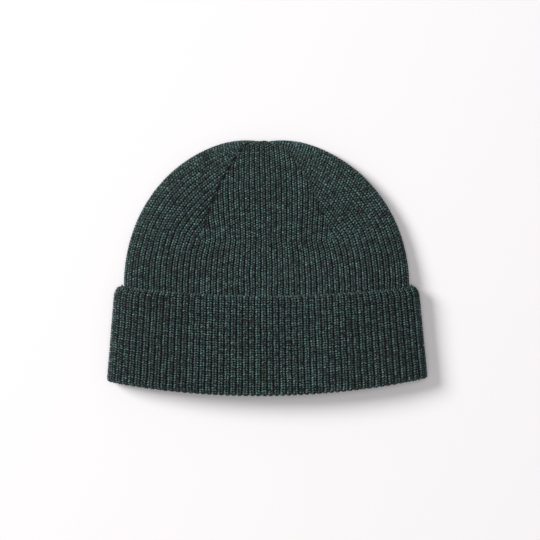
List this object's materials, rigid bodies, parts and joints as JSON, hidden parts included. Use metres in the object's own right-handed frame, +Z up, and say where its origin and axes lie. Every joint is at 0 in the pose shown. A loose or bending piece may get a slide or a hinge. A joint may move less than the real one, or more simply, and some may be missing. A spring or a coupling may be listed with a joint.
{
  "type": "merino beanie",
  "caption": "Ribbed knit beanie with a turned-up cuff and a gathered round crown, lying flat, hollow and open at the mouth.",
  "frame": {"origin": "middle of the cap's box on the surface it lies on", "axes": "+Z up from that surface, +Y towards the crown's tip, +X to the right with the front of the cap upwards"},
  "size_m": [0.2214, 0.1766, 0.0196],
  "materials": {
    "crown_knit": "heathered dark green 1x1 rib knit, matte",
    "cuff_knit": "heathered dark green 1x1 rib knit, matte",
    "gather_yarn": "dark green wool yarn, matte"
  },
  "bodies": {
    "root": {"crown": "crown_knit", "cuff": "cuff_knit", "closing_gather": "gather_yarn"}
  },
  "joints": []
}
